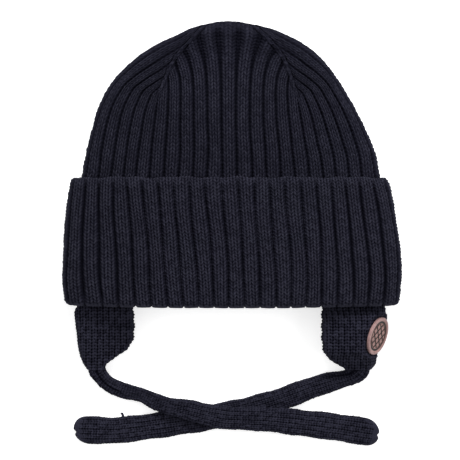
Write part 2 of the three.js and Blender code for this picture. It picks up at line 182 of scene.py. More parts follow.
def running_length(line):
    """The length along a line up to each of its points."""
    return np.concatenate([[0], np.cumsum(np.linalg.norm(np.diff(line, axis=0), axis=1))])


def sampled(where, length, values):
    """Rows of values that belong to rising lengths, read at any lengths between."""
    return np.stack([np.interp(where, length, column) for column in values.T], -1)


def smoothed(values, kernel):
    """Values averaged with a kernel, after they are run on evenly past both ends."""
    half = len(kernel) // 2
    before = 2 * values[0] - values[half:0:-1]
    after = 2 * values[-1] - values[-2:-2 - half:-1]
    return np.convolve(np.concatenate([before, values, after]), kernel, "valid")


# %% [markdown]
# The tube is 44 ribs round. Lying down, its section is an oval with round side folds, a flat back
# and a gently arched front. A point of the tube is a rib coordinate on a section: 0 at the left
# fold, 11 on the middle of the front, 22 at the right fold. Above the seams where ribs end, the
# seam's own narrow rib stays and the ribs beside it run into it.

# %% Ribbed tube
RIBS = 44
QUARTER = RIBS / 4
PANEL_HALF = RIBS / 8
FOLD_SPREAD = 0.5
SEAM_RIB_HALF = 0.25
BODY_WALL, CUFF_WALL, LAYER_GAP = 3.4, 3.6, 0.6

CROWN_SECTIONS = table(
    ["front", "side", "left", "right", "middle", "seam", "ribs", "side_ribs", "crowd", "dip",
     "fold", "axis", "top"],
    [
        [-33.7, -33.7, -95.1, 95.2, 3.4, 47.6, 5.5, 5.5, 0, 0, 8.1, 12, 25.8],
        [0, 0, -94.4, 94.0, 1.6, 47.8, 5.5, 5.5, 0, 0, 8.1, 12, 25.8],
        [30, 30, -91.7, 89.6, -1, 47.4, 5.5, 5.5, 0, 0, 8.1, 12, 25.8],
        [39, 39.5, -88.7, 87.8, -1.4, 46.8, 5.5, 5.5, 0, 0, 8.1, 12, 25.8],
        [48, 50, -86.9, 86.0, -1.4, 46, 5.5, 5.5, 0, 0, 9, 10.8, 26.4],
        [59.6, 63.1, -84.0, 80.9, -1.6, 44.6, 5.5, 5.5, 0.03, 0, 9.4, 9.6, 26.8],
        [72.6, 79.1, -79.3, 73.4, -1.8, 42.8, 5.5, 5.5, 0.09, 0, 9.5, 9.2, 26.4],
        [84.4, 94.4, -71.0, 64.4, -1.8, 41.0, 5.4, 5.25, 0.14, 0, 9.4, 9.1, 25],
        [95.0, 103.3, -63.0, 58.2, -1.8, 38.1, 4.95, 4.3, 0.18, 2.4, 9, 8.9, 22.6],
        [105.6, 110.6, -54.6, 51.6, -1.8, 35.0, 4.1, 3.1, 0.18, 4.7, 8.3, 8.5, 19.8],
        [115.1, 117.5, -43.4, 42.6, -1.9, 29.8, 2.85, 2.1, 0.1, 4.4, 7.2, 7.9, 16.4],
        [122.1, 123.0, -31.4, 31.6, -2, 22.8, 1.9, 1.45, 0.05, 3.0, 5.6, 7.2, 13.4],
        [127.4, 126.2, -24.4, 22.9, -2, 17.2, 1.4, 1.15, 0, 2.2, 3.8, 6.8, 11],
        [130.4, 127.4, -19.2, 16.8, -2, 13.8, 1.1, 1, 0, 2.0, 2.4, 6.5, 9.2],
    ],
)
CUFF_SECTIONS = table(
    ["y", "left", "right", "middle", "seam"],
    [
        [-40, -98.6, 99.4, 3.6, 49.6],
        [-20, -100.4, 101, 3.0, 50.4],
        [0, -99.5, 99.6, 1.6, 50.4],
        [20, -97.8, 96.8, -0.4, 50.6],
        [38, -95.4, 92.6, -1.6, 51.0],
    ],
)
CUFF_OVAL = {"fold": 12.3, "axis": 12.0, "top": 30.0}


def spread(count):
    """Ribs near a side fold are stretched a little: their count as a length."""
    return count + FOLD_SPREAD * (1 - np.exp(-2 * count))


def arc_length_to(oval, x):
    """The length along an oval's front from its middle to x: along the arch, then round the fold."""
    bend = oval["arch"] * np.sin(oval["lean"])
    on_arch = oval["arch"] * np.arcsin(np.minimum(x, bend) / oval["arch"])
    turn = np.arcsin(np.clip((x - oval["flat"]) / oval["fold"], -1, 1)) - oval["lean"]
    return on_arch + np.where(x > bend, oval["fold"] * turn, 0)


def rib_place(rib):
    """For rib coordinates: whether each is on the front, its side, and its ribs from the middle."""
    turn = np.mod(rib, RIBS)
    front = turn <= RIBS / 2
    across = np.where(front, turn, RIBS - turn)
    return front, np.where(across < QUARTER, -1.0, 1.0), np.abs(across - QUARTER)


def panel_count(section, rib):
    """For rib coordinates on a section: whether each is in the front or back panel, how many ribs
    the panel has left, ribs from the seam, and ribs from the panel's middle line. Ribs that have
    ended stop short of the seam by half of the seam's own narrow rib."""
    from_middle = rib_place(rib)[2]
    in_panel = from_middle <= PANEL_HALF
    from_line = np.where(in_panel, from_middle, QUARTER - from_middle)
    ribs = np.where(in_panel, section["ribs"], section["side_ribs"])
    from_seam = PANEL_HALF - from_line
    on_seam = from_seam < SEAM_RIB_HALF
    count = np.where(on_seam, ribs - from_seam, np.minimum(from_line, ribs - SEAM_RIB_HALF))
    return in_panel, ribs, from_seam, count


def tube_points(section, rib, sink):
    """Points of the tube: a rib coordinate on a section, sunk inwards. The length along the oval is
    shared out evenly from the panel's middle line to the seam. Past the arch the point turns round
    the fold: x = flat + fold sin(turn), z = axis + fold cos(turn). Nothing sinks below the table."""
    flat = (section["right"] - section["left"]) / 2 - section["fold"]
    axis, top, fold = section["axis"], section["top"], section["fold"]
    rise = top - axis
    arch = (flat**2 + rise**2 - fold**2) / (2 * (rise - fold))
    lean = np.arctan2(flat, arch - rise)
    oval = {"flat": flat, "fold": fold, "arch": arch, "lean": lean}
    front, hand, _ = rib_place(rib)
    in_panel, ribs, _, count = panel_count(section, rib)
    front_length = arch * lean + fold * (np.pi / 2 - lean)
    whole = np.where(front, front_length, flat + fold * np.pi / 2)
    seam_length = arc_length_to(oval, section["seam"]) / front_length * whole
    part = np.where(in_panel, count / ribs, spread(count) / spread(ribs))
    crowded = part * (1 + section["crowd"] * (1 - part))
    length = np.where(in_panel, seam_length * crowded, whole - (whole - seam_length) * part)
    bend = np.where(front, arch * lean, flat)
    turn = np.where(front, np.minimum(length / arch, lean), 0) + np.maximum(length - bend, 0) / fold
    past = length > bend
    on_arch_x = np.where(front, arch * np.sin(turn), length)
    on_arch_z = np.where(front, top - arch * (1 - np.cos(turn)), axis - fold)
    up = np.where(front, np.cos(turn), -np.cos(turn))
    x = np.where(past, flat + fold * np.sin(turn), on_arch_x)
    z = np.where(past, axis + fold * up, on_arch_z)
    centre = (section["left"] + section["right"]) / 2
    shift = np.where(front, (section["middle"] - centre) * (1 - (x / (flat + fold)) ** 2), 0)
    seam_y = section["front"] - section["dip"]
    y = np.where(
        in_panel,
        section["front"] - section["dip"] * part**2,
        seam_y + (section["side"] - seam_y) * np.clip(1 - part, 0, 1) ** 1.5,
    )
    x = centre + shift + hand * (x - sink * np.sin(turn))
    return np.stack([x, y, np.maximum(z - sink * up, 0)], -1)


# %% [markdown]
# A knit column is two legs that meet in a V. One rib is two such columns, so four legs, and then a
# gap where the purl columns hide. The grid has three lines to a leg and three to a row, and the rows
# themselves zigzag with the Vs, so each leg of each stitch is a small raised bead.

# %% Stitch relief
LEG = 0.2
RIB_LINES = [-0.4, -1 / 3, -4 / 15, -0.2, -2 / 15, -1 / 15, 0, 1 / 15, 2 / 15, 0.2, 4 / 15, 1 / 3, 0.4,
             0.46, 0.5, 0.54]
RIB_GRID = (np.arange(RIBS)[:, None] + RIB_LINES).ravel()
LEG_GRID = RIB_GRID / LEG
ROW_SAMPLES = 3
V_HEIGHT = 0.8
BODY_RIB_DEPTH = 2.4
CUFF_RIB_DEPTH = 2.2
LEG_GROOVE = 0.75
BEAD_GROOVE = 0.5
HOLE = 0.45
CREST_ROUND = 0.3
PURL_DEPTH = 1.1
PURL_LEAN = 3.0
OWN_DEPTH = 0.2
BEAD_BULGE = 0.02
GAP_DARK = 1.25


def across_rib(rib):
    """Ribs from the nearest crest, from -0.5 to 0.5."""
    return rib - np.round(rib)


STITCH_ROWS = 96
STITCH_SEED = 11
uneven_stitches = np.random.default_rng(STITCH_SEED).uniform(-1, 1, (STITCH_ROWS, int(RIBS / LEG)))


def own_depth(legs, rows):
    """How much deeper each leg of each stitch is than its neighbours, -1 to 1: a seeded random
    number, held all over the leg."""
    row = np.mod(np.floor(rows), STITCH_ROWS).astype(int)
    leg = np.mod(np.floor(legs), uneven_stitches.shape[1]).astype(int)
    return uneven_stitches[row, leg]


def zigzag(across):
    """How far a row rises, in rows, across a rib: nothing at each column's middle, V_HEIGHT at its
    sides, and level through the gap."""
    return V_HEIGHT * np.minimum(np.abs(np.abs(across) - LEG) / LEG, 1)


def leg_relief(across, along):
    """Depth in mm of the grooves between legs and between the beads of each leg, both as squared
    cosines, with a deeper dot where they cross. In the gap the beads run half a row on."""
    on_legs = np.clip((0.5 - np.abs(across)) / (0.5 - 2 * LEG), 0, 1)
    groove = np.cos(np.pi * across / LEG) ** 2 * on_legs
    bead = np.cos(np.pi * (along + 0.5 * (1 - on_legs))) ** 2
    return LEG_GROOVE * groove + BEAD_GROOVE * bead * (1.3 - 0.3 * on_legs) + HOLE * groove * bead


def bulging(crest, along):
    """Half of the crest's width, with a bulge at each bead, so the gaps' sides aren't straight."""
    return crest - BEAD_BULGE * np.cos(2 * np.pi * along)


def purl_relief(across, crest, along):
    """Depth in mm of the purl columns, where the ribs are far apart and they show: bumps on a
    zigzag of their own, between the crest's edge and the middle of the gap."""
    in_gap = smoothstep((np.abs(across) - crest) / 0.1)
    return PURL_DEPTH * in_gap * np.cos(np.pi * (along + PURL_LEAN * np.abs(across))) ** 2


def darkness(legs, ribs):
    """How hidden from the light each point is, 0 to 1, from the depth of its leg grooves and of its
    rib's gap: either is enough to darken it."""
    open_legs = 1 - np.clip(legs / (LEG_GROOVE + BEAD_GROOVE + HOLE), 0, 1)
    open_ribs = 1 - np.clip(GAP_DARK * ribs / CUFF_RIB_DEPTH, 0, 1)
    return 1 - open_legs * open_ribs


def rib_relief(across, crest, depth):
    """Depth in mm of the rib's own shape: level to half the crest's width, then down to the gap."""
    side = np.clip((np.abs(across) - crest) / (0.5 - crest), 0, 1)
    return depth * smoothstep(side) + CREST_ROUND * np.minimum(np.abs(across) / crest, 1) ** 2


def wander(rib, y):
    """Ribs from their straight course, in ribs: knit never lies quite even."""
    slow = np.sin(2 * np.pi * 3 * rib / RIBS + 0.035 * y + 1.0)
    quick = np.sin(2 * np.pi * 8 * rib / RIBS - 0.07 * y + 2.5)
    small = np.sin(2 * np.pi * 19 * rib / RIBS + 0.12 * y)
    return 0.04 * slow + 0.03 * quick + 0.02 * small


def unevenness(rib, along, size):
    """Hand-made unevenness: a few slow waves that don't repeat with the ribs or the rows."""
    a = np.sin(rib * 2 * np.pi * 5 / RIBS + 0.05 * along) * np.sin(0.11 * along + 1.3)
    b = np.sin(rib * 2 * np.pi * 13 / RIBS - 0.13 * along + 2.1)
    c = np.sin(rib * 2 * np.pi * 31 / RIBS + 0.71 * along + 0.4)
    return size * (0.5 * a + 0.3 * b + 0.2 * c)


# %% [markdown]
# The wool is a dark navy yarn: rough, with no clear highlight but a soft sheen from loose fibres, and
# darker in the grooves where less light gets in. The twist of the plies is finer than a pixel here,
# so it is a bump that counts stitches, not millimetres.

# %% Materials
PLIES = 3.0


def linear(hex_colour):
    """An sRGB hex colour as linear RGB."""
    parts = np.array([int(hex_colour[i:i + 2], 16) / 255 for i in (1, 3, 5)])
    rgb = np.where(parts <= 0.04045, parts / 12.92, ((parts + 0.055) / 1.055) ** 2.4)
    return (*rgb, 1.0)


def add_node(tree, kind, settings=None, inputs=None):
    """Adds a shader node, sets its properties, and sets or links its inputs."""
    node = tree.nodes.new("ShaderNode" + kind)
    for name, value in (settings or {}).items():
        setattr(node, name, value)
    for name, value in (inputs or {}).items():
        if isinstance(value, bpy.types.NodeSocket):
            tree.links.new(value, node.inputs[name])
        else:
            node.inputs[name].default_value = value
    return node


def new_material(name):
    """An empty node material and its tree."""
    material = bpy.data.materials.new(name)
    material.use_nodes = True
    material.node_tree.nodes.clear()
    return material, material.node_tree


def finish_material(tree, inputs):
    """Ends a material's tree in a shader with these inputs and the surface output."""
    shader = add_node(tree, "BsdfPrincipled", inputs=inputs)
    add_node(tree, "OutputMaterial", inputs={"Surface": shader.outputs[0]})


def ramp(tree, factor, stops):
    """A colour ramp through stops of a position and a hex colour."""
    node = add_node(tree, "ValToRGB", inputs={"Fac": factor})
    elements = node.color_ramp.elements
    while len(elements) < len(stops):
        elements.new(0.5)
    for element, (position, colour) in zip(elements, stops):
        element.position = position
        element.color = linear(colour)
    return node.outputs["Color"]


def noise(tree, place, scale, detail):
    """Cloudy noise: a value near one half at each place."""
    inputs = {"Vector": place, "Scale": scale, "Detail": detail}
    return add_node(tree, "TexNoise", inputs=inputs).outputs["Fac"]


def tone(tree, value, low, high, span=(0.3, 0.7)):
    """A tone that goes from low to high while the value crosses its span."""
    return add_node(tree, "MapRange", inputs={
        "Value": value, "From Min": span[0], "From Max": span[1], "To Min": low, "To Max": high}).outputs[0]


def toned(tree, colour, *tones):
    """A colour made lighter or darker by one tone after another."""
    for strength in tones:
        inputs = {0: colour, "Scale": strength}
        colour = add_node(tree, "VectorMath", {"operation": "SCALE"}, inputs).outputs[0]
    return colour


def bump(tree, height, strength, distance, **normal):
    """A surface normal tilted by a height, and by another bump's Normal where one is given."""
    inputs = {"Strength": strength, "Distance": distance, "Height": height, **normal}
    return add_node(tree, "Bump", inputs=inputs).outputs[0]


def surface_values(tree):
    """Each point's place on the object, and how hollow it is."""
    place = add_node(tree, "TexCoord").outputs["Object"]
    return place, add_node(tree, "Attribute", {"attribute_name": "hollow"}).outputs["Fac"]


def wool(name, base, light, dark):
    """Knitting wool: colour from light on the crests to dark in the grooves, speckled by fibres."""
    material, tree = new_material(name)
    stitches = add_node(tree, "UVMap", {"uv_map": "stitches"}).outputs["UV"]
    place, hollow = surface_values(tree)
    colour = ramp(tree, hollow, [(0.2, light), (0.5, base), (0.95, dark)])
    fibres = noise(tree, place, 1600.0, 3.0)
    speck = tone(tree, fibres, 0.75, 1.3)
    cloud = tone(tree, noise(tree, place, 60.0, 2.0), 0.95, 1.05)
    stitch = add_node(tree, "VectorMath", {"operation": "FLOOR"}, {0: stitches})
    chance = add_node(tree, "TexWhiteNoise", {"noise_dimensions": "2D"}, {"Vector": stitch.outputs[0]})
    own_tone = tone(tree, chance.outputs["Value"], 0.9, 1.1, (0.0, 1.0))
    twist = add_node(tree, "TexWave", {"bands_direction": "DIAGONAL"}, {
        "Vector": stitches, "Scale": PLIES, "Distortion": 1.2, "Detail": 2.0, "Detail Scale": 2.0})
    ply_bump = bump(tree, twist.outputs["Fac"], 0.5, 0.00018)
    finish_material(tree, {
        "Base Color": toned(tree, colour, speck, cloud, own_tone), "Roughness": 0.92, "IOR": 1.45,
        "Normal": bump(tree, fibres, 0.6, 0.0002, Normal=ply_bump), "Specular IOR Level": 0.06,
        "Sheen Weight": 0.03, "Sheen Roughness": 0.6, "Sheen Tint": linear("#8A8DB0")})
    return material


RIB_WOOL = wool("navy_wool_2x2_rib", "#191923", "#2B2B36", "#080811")
PLAIN_WOOL = wool("navy_wool_plain_knit", "#1B1B25", "#292935", "#070711")

# %% [markdown]
# The crown and body: the tube from the rim to the closed top. Its rows are spaced by the length
# along the front, because the front curves down to the table near the top. Inside the cuff, where
# nothing shows, the rows are far apart. The inside of the hat is the same knit seen from behind.

# %% Crown
CROWN_ROW = 2.25
RIM_Y = -33.7
FINE_START = 34.0
LINE_SAMPLES = 2000
CROWN_HIDDEN = (RIM_Y, -20, 5, 28)
CROWN_INSIDE = (115.1, 108, 100, 90, 78, 64, 48, 30, 12, -8, -22, -31, -33.2)
CREST_LOW, CREST_TOP = 0.42, 0.19
NARROWING = 3.2
SEAM_CREASE = 0.5
TOP_SMOOTH, TOP_FADE = 5, 7
LIP_Y = 40
STEADY_Y, STEADY_FADE = 52, 20
TOP_Y, TOP_Y_FADE = 95, 25
CROWN_SWELL = 0.35
INNER_RIDGE = 0.8
CROWN_DARK, TOP_DARK = 0.12, 0.14


def seam_relief(from_seam, beside, legs):
    """Depth of the seam's own narrow rib: proud at its middle, down to the ribs beside it at its
    edge, with a crease between."""
    edge = smoothstep((np.clip(from_seam / SEAM_RIB_HALF, 0, 1) - 0.4) / 0.6)
    return (1 - edge) * 0.6 * legs + edge * (beside + SEAM_CREASE)


def crown_outside():
    """Rows of the outside. Each row's place is its length along the front's middle line plus its
    zigzag. Ribs that have ended share the seam's point, so they have its relief too."""
    front = np.linspace(RIM_Y, CROWN_SECTIONS["front"][-1], LINE_SAMPLES)
    top = row_at(CROWN_SECTIONS, "front", front)["top"]
    length = np.concatenate([[0], np.cumsum(np.hypot(np.diff(front), np.diff(top)))])
    first = np.interp(FINE_START, front, length)
    fine = np.arange(first, length[-1], CROWN_ROW / ROW_SAMPLES)
    rows = np.concatenate([np.interp(CROWN_HIDDEN, front, length), fine])[:, None]
    start = row_at(CROWN_SECTIONS, "front", np.interp(rows, length, front))
    in_panel, ribs, from_seam, count = panel_count(start, RIB_GRID)
    across = across_rib(count)
    decreasing = smoothstep((PANEL_HALF - ribs) / 0.25)
    knit = np.where(rows >= first, 1.0, 0.0)
    left = length[-1] - rows
    rise = zigzag(across) * knit * np.clip(left / (2 * CROWN_ROW), 0, 1)
    phase = (rows - first) / CROWN_ROW
    place = np.minimum(rows + rise * CROWN_ROW, length[-1])
    section = row_at(CROWN_SECTIONS, "front", np.interp(place, length, front))
    narrowing = smoothstep((PANEL_HALF - section["ribs"]) / NARROWING)
    crest = bulging(CREST_LOW + (CREST_TOP - CREST_LOW) * np.where(in_panel, narrowing, 0), phase)
    top_edge = smoothstep((left - TOP_SMOOTH) / TOP_FADE)
    legs = leg_relief(across, phase) * knit * (0.6 + 0.4 * top_edge)
    legs = legs + purl_relief(across, crest, phase) * np.where(in_panel, narrowing * top_edge, 0)
    legs = legs + OWN_DEPTH * own_depth(LEG_GRID, phase) * knit
    to_seam = ribs - SEAM_RIB_HALF - count
    flatter = 1 - 0.35 * decreasing * np.where(in_panel, 0, smoothstep(1 - to_seam / 1.2))
    rib_depth = BODY_RIB_DEPTH * flatter * (0.05 + 0.95 * top_edge)
    rib_depth = rib_depth * (1 - np.where(in_panel, 0.55, 0.35) * narrowing)
    ridge = rib_relief(across, crest, rib_depth)
    body = ridge + legs
    beside_across = across_rib(ribs - SEAM_RIB_HALF)
    beside = rib_relief(beside_across, crest, rib_depth) + leg_relief(beside_across, phase) * knit
    near_seam = smoothstep(1 - to_seam / 0.15)
    on_seam = from_seam < SEAM_RIB_HALF
    shaped = np.where(on_seam, seam_relief(from_seam, beside, legs), body + SEAM_CREASE * near_seam)
    sink = body + (shaped - body) * decreasing
    y = section["front"]
    above_cuff = smoothstep((y - LIP_Y) / 8)
    swell = unevenness(RIB_GRID, place, CROWN_SWELL) * above_cuff * np.minimum(section["fold"] / 8, 1)
    astray = wander(RIB_GRID, y) * (1 - smoothstep((y - STEADY_Y) / STEADY_FADE))
    points = tube_points(section, RIB_GRID + astray, sink + swell * (1 - near_seam * decreasing))
    stitches = np.stack([LEG_GRID + 0 * sink, phase + rise], -1)
    least = CROWN_DARK + TOP_DARK * smoothstep((y - TOP_Y) / TOP_Y_FADE)
    return points, stitches, least + (1 - least) * darkness(legs, sink - legs)


def crown_inside():
    """Rows of the inside, from the top to the rim: the ribs seen from behind, without stitches."""
    front = np.array(CROWN_INSIDE)[:, None] + 0 * RIB_GRID
    section = row_at(CROWN_SECTIONS, "front", front)
    count = panel_count(section, RIB_GRID)[3]
    ridge = INNER_RIDGE * (1 - smoothstep((np.abs(across_rib(count)) - 0.2) / 0.3))
    stitches = np.stack([LEG_GRID + 0 * front, front / CROWN_ROW], -1)
    return tube_points(section, RIB_GRID, BODY_WALL - ridge), stitches, 0.4 + 0 * front


crown_grid = [np.concatenate(both) for both in zip(crown_inside(), crown_outside())]
add_piece("crown_knit", crown_grid, RIB_WOOL, "crown", closed=True)

# %% [markdown]
# The cuff is the same knit turned up. Its section is a line that runs down the outside, round the
# hem and up the inside, then over the lip: each point of that line has a height y and a depth below
# the cuff's outside, and the ribs sink in along the line's own normal, so they scallop the hem.

# %% Cuff
CUFF_TOP = 37.8
HEM_START = -35.6
INNER_END = -34.0
HEM_RADIUS = (BODY_WALL + LAYER_GAP + CUFF_WALL) / 2
LIP_RADIUS = CUFF_WALL / 2
CUFF_ROW = 2.0
CUFF_CREST = 0.438
CREST_WIDEST = 0.475
SIDE_CREST, LIP_CREST, UNEVEN_CREST = 0.04, 0.05, 0.04
FIRST_STITCHES = 0.8
LIP_RIBS, HEM_RIBS = 0.08, 0.5
CUFF_SWELL = 0.4
TUCK = 1.4
HEM_RISE, HEM_LIFT = 1.4, 0.1
CUFF_HALF = 98
ARC_SAMPLES, OUTSIDE_SAMPLES, INSIDE_SAMPLES = 25, 200, 60


def half_circle(centre_y, radius, start, end):
    """Points (y, depth) on an arc that touches depth 0, between two angles from the +y direction."""
    turn = np.radians(np.linspace(start, end, ARC_SAMPLES))
    return np.stack([centre_y + radius * np.cos(turn), radius - radius * np.sin(turn)], -1)


def cuff_line():
    """The cuff's section as a line of (y, depth) points: lip, outside, hem, inner end, inside."""
    lip_y = CUFF_TOP - LIP_RADIUS
    lip = half_circle(lip_y, LIP_RADIUS, -90, 90)
    outside = np.linspace([lip_y, 0], [HEM_START, 0], OUTSIDE_SAMPLES)
    hem = half_circle(HEM_START, HEM_RADIUS, 90, 270)
    inner = np.array([[INNER_END, 2 * HEM_RADIUS], [INNER_END, CUFF_WALL]])
    up = np.linspace([INNER_END, CUFF_WALL], [lip_y, CUFF_WALL], INSIDE_SAMPLES)
    return np.concatenate([lip, outside[1:], hem[1:], inner, up[1:]])


def hem_sag(x, y):
    """The hem rises from its middle to its sides, and the rise fades upwards."""
    near = smoothstep((-10 - y) / 25)
    return HEM_RISE * (x / CUFF_HALF) ** 2 * near + HEM_LIFT * near


def lip_wave(x, y):
    """The folded lip isn't straight: two small waves along it, which fade downwards."""
    return (0.35 * np.sin(0.19 * x + 1) + 0.3 * np.sin(0.43 * x)) * smoothstep((y - 15) / 20)


def cuff_grid():
    """Rows of the cuff, from the lip once round its section and back to the first row."""
    line = cuff_line()
    length = running_length(line)
    direction = unit(np.gradient(line, length, axis=0))
    lip = np.pi * LIP_RADIUS
    straight = lip + CUFF_TOP - LIP_RADIUS - HEM_START
    knit_end = straight + 0.5 * np.pi * HEM_RADIUS
    fine = np.arange(FIRST_STITCHES, knit_end, CUFF_ROW / ROW_SAMPLES)
    hem_end = straight + np.pi * HEM_RADIUS
    coarse = [knit_end + 1, (knit_end + hem_end) / 2, hem_end - 1, hem_end, hem_end + 1.6, hem_end + 5]
    inner = np.linspace(hem_end + 8, length[-1] - 0.3, 4)
    rows = np.concatenate([[0.0], fine, coarse, inner])[:, None]
    across = across_rib(RIB_GRID)
    knit = smoothstep(rows / 2) * (1 - smoothstep((rows - knit_end + 4) / 4))
    ribbed = LIP_RIBS + (1 - LIP_RIBS) * smoothstep((rows - lip / 2 - 2.5) / 8)
    ribbed = ribbed * (1 - HEM_RIBS * smoothstep((rows - straight + 2) / 6))
    ribbed = ribbed * (1 - smoothstep((rows - straight - 0.7 * np.pi * HEM_RADIUS) / 3))
    rise = -zigzag(across) * knit
    place = rows + rise * CUFF_ROW
    phase = rows / CUFF_ROW * np.ones_like(RIB_GRID)
    y, depth = (np.interp(place, length, part) for part in line.T)
    along_y, along_depth = (np.interp(place, length, part) for part in direction.T)
    to_side = smoothstep((rib_place(RIB_GRID)[2] - 4) / 5)
    near_lip = 1 - smoothstep((rows - lip / 2) / 12)
    uneven = unevenness(RIB_GRID, place, UNEVEN_CREST)
    crest = CUFF_CREST - SIDE_CREST * to_side + uneven + LIP_CREST * near_lip
    crest = np.minimum(bulging(crest, phase), CREST_WIDEST)
    legs = leg_relief(across, phase) * knit
    legs = legs + OWN_DEPTH * own_depth(LEG_GRID, phase) * knit
    ridge = rib_relief(across, crest, CUFF_RIB_DEPTH) * ribbed
    swell = unevenness(RIB_GRID, place, CUFF_SWELL) * smoothstep((rows - 4) / 6) * ribbed
    moved = ridge + legs + swell
    tucked = TUCK * smoothstep(1 - np.abs(rows - lip / 2) / 8)
    height = y + moved * along_depth
    section = row_at(CUFF_SECTIONS, "y", height)
    section.update({name: np.full_like(y, value) for name, value in CUFF_OVAL.items()})
    section["front"] = section["side"] = height
    section["ribs"] = section["side_ribs"] = np.full_like(y, PANEL_HALF)
    section["dip"] = section["crowd"] = np.zeros_like(y)
    points = tube_points(section, RIB_GRID + wander(RIB_GRID, y), depth + tucked - moved * along_y)
    points[..., 1] += hem_sag(points[..., 0], y) + lip_wave(points[..., 0], y)
    stitches = np.stack([LEG_GRID * np.ones_like(y), phase + rise], -1)
    hollow = darkness(legs, ridge)
    return (np.concatenate([points, points[:1]]), np.concatenate([stitches, stitches[-1:] + [0, 1]]),
            np.concatenate([hollow, hollow[:1]]))


add_piece("cuff_knit", cuff_grid(), RIB_WOOL, "cuff")

# %% [markdown]
# The ear flaps are one layer of plain knit, folded in two round the side of the hat. Across the
# fold each row is a line through four corners with the two outer ones rounded; the knit columns
# keep their distance from the fold, and the ones that run out at the free edges end there.

# %% Flaps
FLAP_WALL = 3.0
FLAP_LEG = 1.7
FLAP_ROW = 1.9
FLAP_SAMPLES = 5
PLAIN_GROOVE = 0.36
PLAIN_BEAD = 0.22
PLAIN_HOLE = 0.9
PLAIN_HOLE_UNEVEN = 0.6
PLAIN_OWN_DEPTH = 0.2
PLAIN_V = 0.3
PLAIN_DARK = 2.1
EDGE_KNOT = 0.3
EDGE_WAVE = 0.3
EDGE_SINK = 0.2
EDGE_POINTS = 5
LINING_SAMPLES = 60
LINING_DARK = 0.5
FLAP_REACH = 52.0
FOLD_SAMPLES = 120
BEND_SAMPLES = 9
PLAIN_DEPTH = PLAIN_GROOVE + PLAIN_BEAD + PLAIN_HOLE
FLAP_COLUMNS = ["y", "edge", "upper", "upper_z", "lower", "lower_z", "droop", "round"]
PATCH_CENTRE = np.array([85.6, -55.8, 11.5])
PATCH_FACING = unit(np.array([0.827, -0.257, 0.5]))
PATCH_GAP = 0.35


def plain_groove(legs):
    """The grooves between legs as squared cosines, those between columns (at even counts) deeper
    than those inside a column's V."""
    return np.cos(np.pi * legs) ** 2 * (0.75 + 0.25 * np.cos(np.pi * legs))


def plain_relief(legs, rows):
    """Depth in mm of plain knit: grooves between legs and between beads, a dot of its own depth
    where they cross, and each leg of a stitch a little proud or deep."""
    groove = plain_groove(legs)
    bead = np.cos(np.pi * rows) ** 2
    dots = PLAIN_HOLE * (1 + PLAIN_HOLE_UNEVEN * own_depth(legs + 0.5, rows + 0.5))
    own = PLAIN_OWN_DEPTH * own_depth(legs, rows)
    return PLAIN_GROOVE * groove + PLAIN_BEAD * bead + dots * (groove * bead) ** 1.5 + own


def face_x(y, z):
    """x on the flat side behind the patch: the plane through a point just behind the patch."""
    back = PATCH_CENTRE - PATCH_FACING * PATCH_GAP
    return back[0] - (PATCH_FACING[1] * (y - back[1]) + PATCH_FACING[2] * (z - back[2])) / PATCH_FACING[0]


LEFT_FLAP = [
    [-27.5, 58, 90, 16.1, 90, 7.9, 0, 4],
    [-36, 58, 90.2, 16.1, 90.2, 7.9, 0, 4],
    [-39.4, 58, 92.0, 16, 92.2, 7.4, 0.1, 4],
    [-42.4, 57.9, 92.8, 15.9, 93.2, 5, 0.6, 4],
    [-50, 57.6, 91.8, 15, 92.8, 0.8, 2.6, 4],
    [-58, 58.2, 90.8, 13.6, 92.2, 0.3, 3.2, 4],
    [-64, 61.8, 90.0, 12, 91.4, 0.3, 2.6, 3.6],
    [-69, 68.4, 88.8, 10.2, 90.2, 0.3, 1.6, 3.2],
    [-73, 74.0, 87.2, 9, 88.4, 0.3, 0.6, 3],
    [-76.6, 75.4, 85.0, 8.2, 86.0, 0.3, 0.2, 3],
]
RIGHT_FLAP = [
    [-27.5, 53.4, 90, 16.1, 90, 7.9, 0, 4],
    [-36, 53.4, 90.2, 16.1, 90.2, 7.9, 0, 4],
    [-39.6, 53.4, 91, 16.6, 91.2, 7, 0.4, 4],
    [-45.5, 53.4, face_x(-45.5, 21.4), 21.4, face_x(-45.5, 2), 2, 3, 3],
    [-55.8, 53.4, face_x(-55.8, 22), 22, face_x(-55.8, 1.4), 1.4, 5, 3],
    [-65, 54.4, face_x(-65, 20.6), 20.6, face_x(-65, 1), 1, 4.6, 3],
    [-69, 56.8, 81.6, 15.4, 87.8, 0.3, 2, 3.6],
    [-72.6, 61.8, 81.8, 11.4, 87.2, 0.3, 1, 3.2],
    [-76.4, 67.8, 81.2, 9, 84.2, 0.3, 0.4, 3],
]


def bent_line(corners, rounding):
    """A line through four (out, z) corners, the two middle ones rounded by quadratic curves, as
    evenly spaced samples measured from the middle of the fold: lengths, points and normals."""
    start, upper, lower, end = corners

    def cut(corner, to):
        """The point on the way to another corner where this one starts to round."""
        span = np.linalg.norm(to - corner)
        return corner + (to - corner) * min(rounding, 0.45 * span) / span

    def bend(before, corner, after):
        """Points on a corner's curve."""
        t = np.linspace(0, 1, BEND_SAMPLES)[:, None]
        a, b = cut(corner, before), cut(corner, after)
        return (1 - t) ** 2 * a + 2 * t * (1 - t) * corner + t * t * b

    line = np.concatenate([[start], bend(start, upper, lower), bend(upper, lower, end), [end]])
    length = running_length(line)
    middle = 1 + BEND_SAMPLES // 2
    fold = (length[middle] + length[middle + BEND_SAMPLES]) / 2
    even = np.linspace(0, length[-1], FOLD_SAMPLES)
    kernel = np.array([1, 2, 3, 2, 1]) / 9
    points = np.stack([smoothed(part, kernel) for part in sampled(even, length, line).T], -1)
    along = unit(np.gradient(points, axis=0))
    return even - fold, points, np.stack([-along[:, 1], along[:, 0]], -1)


